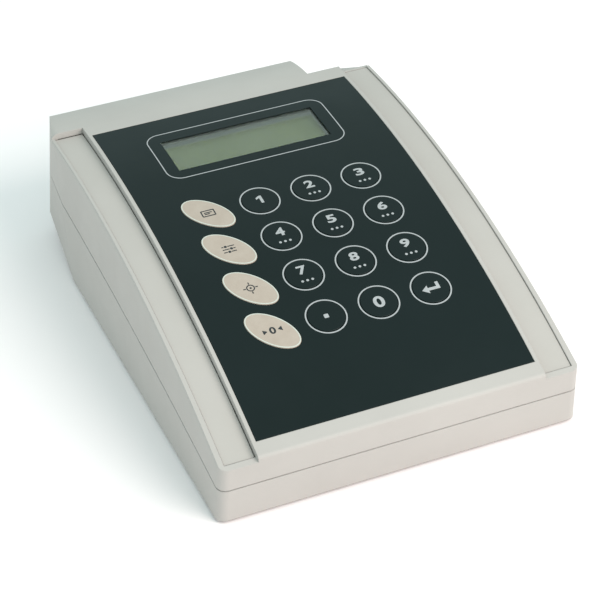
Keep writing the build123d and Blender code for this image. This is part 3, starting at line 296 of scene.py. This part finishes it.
# The finish for each material slot of the CAD
FINISHES = {
    "case_plastic": moulded("case_moulding", (0.428, 0.388, 0.368), (0.454, 0.413, 0.392), rough=0.58,
                            grain=0.45, depth=0.05, edge=0.45, wear_and_painted_light=0.35, specular=0.3),
    "strip_plastic": moulded("strip_moulding", (0.433, 0.390, 0.366), (0.456, 0.411, 0.388), rough=0.55,
                             grain=0.45, depth=0.04, wear_and_painted_light=0.35, specular=0.3),
    "overlay_film": film("overlay_film_black", (0.0030, 0.0080, 0.0080), (0.0045, 0.0100, 0.0104),
                         clouds=22.0, smears=(60.0, 5.0), rough=0.34, specular=0.19, edge=0.2,
                         grain=5200.0, relief=0.35),
    "pale_key": film("pale_key_film", (0.405, 0.322, 0.270), (0.440, 0.358, 0.304),
                     clouds=240.0, smears=(120.0, 4.0), rough=0.36, specular=0.4, edge=0.25,
                     grain=4200.0, relief=0.4),
    "clear_film": clear_film("clear_window_film", (0.90, 0.92, 0.86), (0.94, 0.96, 0.90)),
    "display_glass": display_cell("display_cell", (0.098, 0.127, 0.008), (0.112, 0.142, 0.014)),
    "painted_bezel": moulded("bezel_paint", (0.110, 0.135, 0.140), (0.135, 0.160, 0.165), rough=0.45,
                             grain=0.5, depth=0.02, edge=0.15, wear_and_painted_light=0.2),
    "circuit_board": board("solder_mask", (0.012, 0.080, 0.030), (0.020, 0.130, 0.050)),
    "polyester": moulded("polyester_sheet", (0.50, 0.50, 0.46), (0.56, 0.56, 0.52), rough=0.35,
                         grain=0.6, depth=0.01, edge=0.05, wear_and_painted_light=0.1),
    "dome_steel": metal("spring_steel", (0.48, 0.48, 0.47), (0.62, 0.62, 0.61), rough=0.25,
                        streak=(1, 12, 1)),
    "screw_steel": metal("zinc_plate", (0.40, 0.41, 0.43), (0.56, 0.57, 0.60), rough=0.32),
    "black_plastic": moulded("black_moulding", (0.010, 0.010, 0.011), (0.017, 0.017, 0.018), rough=0.42,
                             grain=0.5, depth=0.03, edge=0.2, wear_and_painted_light=0.3),
    "component_black": moulded("component_moulding", (0.012, 0.012, 0.013), (0.022, 0.022, 0.023),
                               rough=0.5, grain=0.3, depth=0.03, edge=0.1),
    "capacitor_can": metal("aluminium_can", (0.55, 0.55, 0.57), (0.68, 0.68, 0.70), rough=0.3,
                           streak=(1, 1, 9)),
    "rubber": moulded("foot_rubber", (0.012, 0.012, 0.012), (0.024, 0.023, 0.022), rough=0.8,
                      grain=0.3, depth=0.08, edge=0.4, wear_and_painted_light=0.4, specular=0.25),
    "optic_glass": glass("lens_glass", (0.93, 0.96, 0.98)),
    "filter_glass": glass("filter_coating", (0.18, 0.25, 0.65)),
    "led_epoxy": glass("epoxy_dome", (0.88, 0.90, 0.97), rough=0.08),
    "metal_can": metal("tinned_can", (0.50, 0.50, 0.48), (0.66, 0.66, 0.62), rough=0.3),
    "connector_shell": metal("nickel_shell", (0.55, 0.54, 0.51), (0.70, 0.69, 0.66), rough=0.22),
    "ribbon": flat_cable("flat_cable", (0.30, 0.30, 0.31), (0.46, 0.46, 0.47)),
}
for node in nodes.values():
    for place in node.material_slots:
        place.material = FINISHES[place.material.name]
# The photograph shows no black edge at the lid's place, so the lid is moulded like the case
nodes["sample_lid"].material_slots[0].material = FINISHES["case_plastic"]

WHITE_INK = printed("white_ink", (0.345, 0.342, 0.352), (0.405, 0.400, 0.410))
DARK_INK = printed("dark_ink", (0.018, 0.020, 0.024), (0.030, 0.032, 0.036))
# Pale ink for the painted highlight along the edge of each oval key
PAINTED_HIGHLIGHT_INK = printed("painted_highlight_ink", (0.52, 0.51, 0.46), (0.57, 0.57, 0.52))
# Inks for the graded bands of painted shade on the display glass
PAINTED_SHADE_INKS = [printed(f"painted_wall_shade_{k}", dark, light, 0.35)
                for k, (dark, light) in enumerate(PAINTED_SHADE_TONES)]
INSULATOR = moulded("socket_insulator", (0.012, 0.013, 0.016), (0.020, 0.021, 0.025), rough=0.5,
                    grain=0.4, depth=0.02, edge=0.1, wear_and_painted_light=0.1)
CONTACT = metal("gold_contact", (0.62, 0.43, 0.16), (0.74, 0.54, 0.22), rough=0.25)


# ------------------------------------------------------------------ surfaces that carry print
def over_panel(x, s, lift):
    """Point above the panel place (x, s), and the outward direction there."""
    a = FRONT_SLOPE - s / PANEL_RADIUS
    y = OVERLAY_FRONT_Y + PANEL_RADIUS * (math.sin(FRONT_SLOPE) - math.sin(a))
    z = OVERLAY_FRONT_Z + PANEL_RADIUS * (math.cos(a) - math.cos(FRONT_SLOPE))
    outward = Vector((0, -math.sin(a), math.cos(a)))
    return Vector((x, y, z)) + outward * lift, outward


class Skin:
    """Outer surface of one CAD node, onto which shapes are laid."""

    def __init__(self, name):
        mesh = nodes[name].data
        self.tree = BVHTree.FromPolygons([v.co.copy() for v in mesh.vertices],
                                         [tuple(p.vertices) for p in mesh.polygons])

    def below(self, start, direction):
        """Where a ray first meets the surface."""
        return self.tree.ray_cast(start, direction)[0]

    def lay(self, x, s, height):
        """Point at a height over the surface, at the panel place (x, s)."""
        above, outward = over_panel(x, s, CAST_HEIGHT)
        return self.below(above, -outward) + outward * height


# ------------------------------------------------------------------ closed shapes, base at Z 0, top at Z 1
def slab(bm, outline, holes=()):
    """Closed slab with the outline and holes as 2-D loops."""
    loops = [outline, *holes]
    rows = []
    for z in (0.0, 1.0):
        rows.append([[bm.verts.new((u, v, z)) for u, v in loop] for loop in loops])
    for row in rows:
        edges = []
        for loop in row:
            edges += [bm.edges.new((loop[i], loop[(i + 1) % len(loop)])) for i in range(len(loop))]
        bmesh.ops.triangle_fill(bm, use_beauty=True, use_dissolve=False, edges=edges)
    for low, high in zip(*rows):
        for i in range(len(low)):
            j = (i + 1) % len(low)
            bm.faces.new((low[i], low[j], high[j], high[i]))


def band(bm, outer, inner):
    """Closed flat ring between two loops with the same number of points."""
    rows = [[bm.verts.new((u, v, z)) for u, v in loop] for z in (0.0, 1.0) for loop in (outer, inner)]
    low_out, low_in, high_out, high_in = rows
    for i in range(len(outer)):
        j = (i + 1) % len(outer)
        bm.faces.new((high_out[i], high_out[j], high_in[j], high_in[i]))
        bm.faces.new((low_out[j], low_out[i], low_in[i], low_in[j]))
        bm.faces.new((low_out[i], low_out[j], high_out[j], high_out[i]))
        bm.faces.new((low_in[j], low_in[i], high_in[i], high_in[j]))


def glyph(bm, text, height, width, centre=(0.0, 0.0)):
    """Numeral from the plain built-in font, fitted to a size."""
    curve = bpy.data.curves.new("numeral", "FONT")
    curve.body = text
    curve.size = 1.0
    curve.offset = 0.03                 # a slightly bolder face
    curve.resolution_u = 6
    curve.extrude = 0.5
    holder = bpy.data.objects.new("numeral", curve)
    bpy.context.scene.collection.objects.link(holder)
    bpy.context.view_layer.update()
    mesh = bpy.data.meshes.new_from_object(holder.evaluated_get(bpy.context.evaluated_depsgraph_get()))
    bpy.data.objects.remove(holder)
    us = [v.co.x for v in mesh.vertices]
    vs = [v.co.y for v in mesh.vertices]
    mid_u, mid_v = (min(us) + max(us)) / 2, (min(vs) + max(vs)) / 2
    scale_u, scale_v = width / (max(us) - min(us)), height / (max(vs) - min(vs))
    for v in mesh.vertices:
        v.co = Vector((centre[0] + (v.co.x - mid_u) * scale_u, centre[1] + (v.co.y - mid_v) * scale_v,
                       1.0 if v.co.z > 0 else 0.0))
    bm.from_mesh(mesh)
    bpy.data.meshes.remove(mesh)


# ------------------------------------------------------------------ loops
def mm(points):
    return [(u * MM, v * MM) for u, v in points]


def ellipse(a, b, turn=0.0, count=72, centre=(0.0, 0.0)):
    loop = []
    for i in range(count):
        t = 2 * math.pi * i / count
        u, v = a * math.cos(t), b * math.sin(t)
        loop.append((centre[0] + u * math.cos(turn) - v * math.sin(turn),
                     centre[1] + u * math.sin(turn) + v * math.cos(turn)))
    return loop


def circle(radius, count, centre=(0.0, 0.0)):
    return ellipse(radius, radius, 0.0, count, centre)


def rounded(half_u, half_v, radius, steps=10, run=12):
    """Rounded rectangle, with points along its straight sides too."""
    loop = []
    corners = ((1, 1, 0), (-1, 1, 1), (-1, -1, 2), (1, -1, 3))
    for k, (su, sv, quarter) in enumerate(corners):
        cu, cv = su * (half_u - radius), sv * (half_v - radius)
        for i in range(steps + 1):
            t = (quarter + i / steps) * math.pi / 2
            loop.append((cu + radius * math.cos(t), cv + radius * math.sin(t)))
        nu, nv, next_quarter = corners[(k + 1) % 4]
        t = next_quarter * math.pi / 2
        end_u = nu * (half_u - radius) + radius * math.cos(t)
        end_v = nv * (half_v - radius) + radius * math.sin(t)
        start_u, start_v = loop[-1]
        for i in range(1, run):
            loop.append((start_u + (end_u - start_u) * i / run, start_v + (end_v - start_v) * i / run))
    return loop


def bar(u0, v0, u1, v1):
    """Rectangle between two corners, given in millimetres."""
    return mm(((u0, v0), (u1, v0), (u1, v1), (u0, v1)))


# ------------------------------------------------------------------ pieces
def add_piece(name, bm, seat, material, body):
    """Make a piece of a bmesh of shapes: seat moves each point into the shared frame."""
    bmesh.ops.remove_doubles(bm, verts=bm.verts, dist=1e-7)
    for v in bm.verts:
        v.co = seat(v.co)
    bmesh.ops.recalc_face_normals(bm, faces=bm.faces)
    mesh = bpy.data.meshes.new(name)
    bm.to_mesh(mesh)
    bm.free()
    mesh.materials.append(material)
    piece = bpy.data.objects.new(name, mesh)
    bpy.context.scene.collection.objects.link(piece)
    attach(piece, body)


def add_print(name, bm, material, body, skin, x0, s0, slot):
    """Lay ink on a skin, centred at the panel place (x0, s0)."""
    add_piece(name, bm, lambda co: skin.lay(x0 + co.x, s0 + co.y, INK if co.z > 0.5 else -SINK),
              material, body)


def add_rear(name, bm, material, y, depth):
    """Stand shapes on a rear face at y: u runs along X, v up, and the top lies depth behind it."""
    add_piece(name, bm, lambda co: Vector((co.x, y + depth * co.z, co.y)), material, "case")


def mark_key(name, bm):
    """The pale print on one round key."""
    if name == "key_point":
        slab(bm, rounded(POINT_HALF, POINT_HALF, POINT_RADIUS, 4, 2))
    elif name == "key_enter":
        slab(bm, mm(ENTER_ARROW))
    elif name == "key_0":
        glyph(bm, "0", *NOUGHT_SIZE)
    elif name == "key_1":
        slab(bm, mm(NUMERAL_ONE))
    else:
        glyph(bm, name[-1], *DIGIT_SIZE, DIGIT_PLACE)
        for k in (-1, 0, 1):
            slab(bm, circle(DOT_RADIUS, 20, ((DOT_X + DOT_PITCH * k) * MM, DOT_S)))


def mark_display(bm):
    """Oval sign: a small screen with two lines."""
    band(bm, rounded(2.6 * MM, 1.7 * MM, 0.4 * MM, 4, 2), rounded(2.15 * MM, 1.25 * MM, 0.2 * MM, 4, 2))
    slab(bm, bar(-1.5, 0.15, 1.5, 0.6))
    slab(bm, bar(-1.5, -0.6, 0.5, -0.15))


def mark_setup(bm):
    """Oval sign: three sliders."""
    for v, knob in ((1.4, -0.9), (0.0, 0.9), (-1.4, -0.3)):
        slab(bm, circle(0.55 * MM, 20, (knob * MM, v * MM)))
        slab(bm, bar(-2.4, v - 0.2, knob - 0.75, v + 0.2))
        slab(bm, bar(knob + 0.75, v - 0.2, 2.4, v + 0.2))


def mark_calibrate(bm):
    """Oval sign: a target."""
    band(bm, circle(1.55 * MM, 40), circle(1.15 * MM, 40))
    slab(bm, circle(0.4 * MM, 20))
    for turn in range(4):
        spin = Matrix.Rotation(turn * math.pi / 2, 2)
        slab(bm, [tuple(spin @ Vector(place)) for place in bar(1.75, -0.2, 2.7, 0.2)])


def mark_zero(bm):
    """Oval sign: a nought between two pointers."""
    glyph(bm, "0", 3.0 * MM, 2.3 * MM)
    for side in (-1, 1):
        slab(bm, mm((side * u, v) for u, v in ((3.5, 1.0), (3.5, -1.0), (1.9, 0.0)))[::side])


# Round keys: the ring is printed on the sheet, and the mark goes down with its key
panel_skin = Skin("keypad_overlay")
for row, names in enumerate((("key_1", "key_2", "key_3"), ("key_4", "key_5", "key_6"),
                             ("key_7", "key_8", "key_9"), ("key_point", "key_0", "key_enter"))):
    for column, name in enumerate(names):
        x, s = KEY_MIDDLE_X + (column - 1) * KEY_PITCH, FIRST_ROW - row * KEY_ROW_PITCH
        ring = bmesh.new()
        band(ring, circle(RING_RADIUS + RING_WIDTH / 2, 96), circle(RING_RADIUS - RING_WIDTH / 2, 96))
        add_print(f"ring_{name}", ring, WHITE_INK, "case", panel_skin, x, s, "overlay_film")
        mark = bmesh.new()
        mark_key(name, mark)
        add_print(f"mark_{name}", mark, WHITE_INK, f"{name}_press", Skin(name), x, s, "overlay_film")

# Display: the outline round the window, and graded bands of painted shade on the glass, standing in for the
# shaded walls of the recess
outline = bmesh.new()
band(outline, *(rounded(OUTLINE_HALF_X - inset, OUTLINE_HALF_S - inset, OUTLINE_RADIUS - inset)
                for inset in (0.0, OUTLINE_WIDTH)))
add_print("display_outline", outline, WHITE_INK, "case", panel_skin, *OUTLINE_PLACE, "overlay_film")
glass_skin = Skin("display_glass")
for k, ink in enumerate(PAINTED_SHADE_INKS):
    painted_shade_band = bmesh.new()
    band(painted_shade_band, *(rounded(u * MM, v * MM, 0.4 * MM) for u, v in PAINTED_SHADE_STEPS[k:k + 2]))
    add_print(f"display_cell_border_{k}", painted_shade_band, ink, "case", glass_skin, 0.0, WINDOW_REACH, "display_glass")

# Oval keys
for row, (name, draw) in enumerate((("key_display", mark_display), ("key_setup", mark_setup),
                                    ("key_calibrate", mark_calibrate), ("key_zero", mark_zero))):
    s = FIRST_ROW - row * KEY_ROW_PITCH
    skin = Skin(name)
    # A painted highlight ring along the key's edge
    painted_highlight_ring = bmesh.new()
    band(painted_highlight_ring, *(ellipse(OVAL_LONG - inset, OVAL_SHORT - inset, OVAL_TURN, 96)
                for inset in (HIGHLIGHT_RING_OUTER, HIGHLIGHT_RING_INNER)))
    add_print(f"rim_{name}", painted_highlight_ring, PAINTED_HIGHLIGHT_INK, f"{name}_press", skin, OVAL_X, s, "pale_key")
    mark = bmesh.new()
    draw(mark)
    add_print(f"mark_{name}", mark, DARK_INK, f"{name}_press", skin, OVAL_X, s, "pale_key")


# ------------------------------------------------------------------ rear face
rocker_skin = Skin("power_rocker")


def on_rocker(side, co):
    """Lay a point of a mark on the rocker's face, left or right of its pivot."""
    x, z = SWITCH_X + side * ROCKER_MARK_X + co.x, CONNECTOR_Z + co.y
    face_y = rocker_skin.below(Vector((x, REAR_Y + CAST_BEHIND, z)), Vector((0, -1, 0))).y
    return Vector((x, face_y + (ROCKER_INK if co.z > 0.5 else -SINK), z))


on_mark = bmesh.new()
slab(on_mark, bar(-0.3, -1.3, 0.3, 1.3))
off_mark = bmesh.new()
band(off_mark, circle(1.25 * MM, 40), circle(0.85 * MM, 40))
for name, mark, side in (("rocker_mark_on", on_mark, -1), ("rocker_mark_off", off_mark, 1)):
    add_piece(name, mark, lambda co: on_rocker(side, co), WHITE_INK, "rocker")

# Nine-way socket: an insulator with five holes over four, and a contact sleeve in each
sockets = [(SERIAL_X + (i - (count - 1) / 2) * SOCKET_PITCH, CONNECTOR_Z + v)
           for count, v in ((5, SOCKET_ROW), (4, -SOCKET_ROW)) for i in range(count)]
face = bmesh.new()
slab(face, [(SERIAL_X + u, CONNECTOR_Z + v) for u, v in mm(SOCKET_OUTLINE)],
     [circle(SOCKET_HOLE, 20, place) for place in sockets])
add_rear("socket_insulator", face, INSULATOR, SOCKET_FACE_Y - SOCKET_SINK, INSULATOR_DEPTH)
sleeves = bmesh.new()
for place in sockets:
    band(sleeves, circle(SLEEVE_OUTER, 20, place), circle(SLEEVE_INNER, 20, place))
add_rear("socket_contacts", sleeves, CONTACT, SOCKET_FACE_Y - SOCKET_SINK, SLEEVE_DEPTH)

# ------------------------------------------------------------------ floor, light, camera
FLOOR_HALF = 4.0
LIGHT_AIM = Vector((0, 0, 0.03))        # the middle of the case
CAMERA_PLACE = (-0.25300, -0.61450, 0.50196)

floor_mesh = bpy.data.meshes.new("floor")
floor_bm = bmesh.new()
bmesh.ops.create_grid(floor_bm, x_segments=8, y_segments=8, size=FLOOR_HALF)
floor_bm.to_mesh(floor_mesh)
floor_bm.free()
floor = bpy.data.objects.new("floor", floor_mesh)
bpy.context.scene.collection.objects.link(floor)
paper = Build("paper_sweep")
paper.set(Base_Color=paper.ramp(paper.noise(3.0), (0.955, 0.862, 0.868), (0.975, 0.882, 0.888)))
paper.set(Roughness=paper.fit(paper.noise(8.0), 0.8, 0.95), Specular_IOR_Level=0.1)
floor_mesh.materials.append(paper.material)

world = bpy.data.worlds.new("studio")
bpy.context.scene.world = world
world.use_nodes = True
sky = world.node_tree.nodes["Background"]
sky.inputs["Color"].default_value = (0.80, 1.0, 0.985, 1)
sky.inputs["Strength"].default_value = 0.96


def area_light(name, place, size, power, colour):
    """Round softbox, aimed at the case."""
    data = bpy.data.lights.new(name, "AREA")
    data.shape = "DISK"
    data.size = size
    data.energy = power
    data.color = colour
    lamp = bpy.data.objects.new(name, data)
    lamp.location = place
    lamp.rotation_euler = (LIGHT_AIM - Vector(place)).to_track_quat("-Z", "Y").to_euler()
    bpy.context.scene.collection.objects.link(lamp)


area_light("key_softbox", (0.72, -1.15, 1.02), size=1.3, power=24.5, colour=(1.0, 0.945, 0.905))
area_light("side_fill", (-1.45, -0.25, 0.40), size=0.9, power=2.2, colour=(0.84, 1.0, 0.99))

# The place, turn and lens that fit the photograph by least squares
camera_data = bpy.data.cameras.new("camera")
camera_data.sensor_width = 36.0
camera_data.lens = 133.23
camera = bpy.data.objects.new("camera", camera_data)
right = Vector((0.918791, -0.394504, -0.013768))
down = Vector((-0.245582, -0.543953, -0.802374))
forward = Vector((0.309051, 0.740595, -0.596662))
turn = Matrix((right, -down, -forward)).transposed()
camera.matrix_world = Matrix.Translation(CAMERA_PLACE) @ turn.to_4x4()
bpy.context.scene.collection.objects.link(camera)
bpy.context.scene.camera = camera
bpy.context.scene.view_settings.view_transform = "Standard"
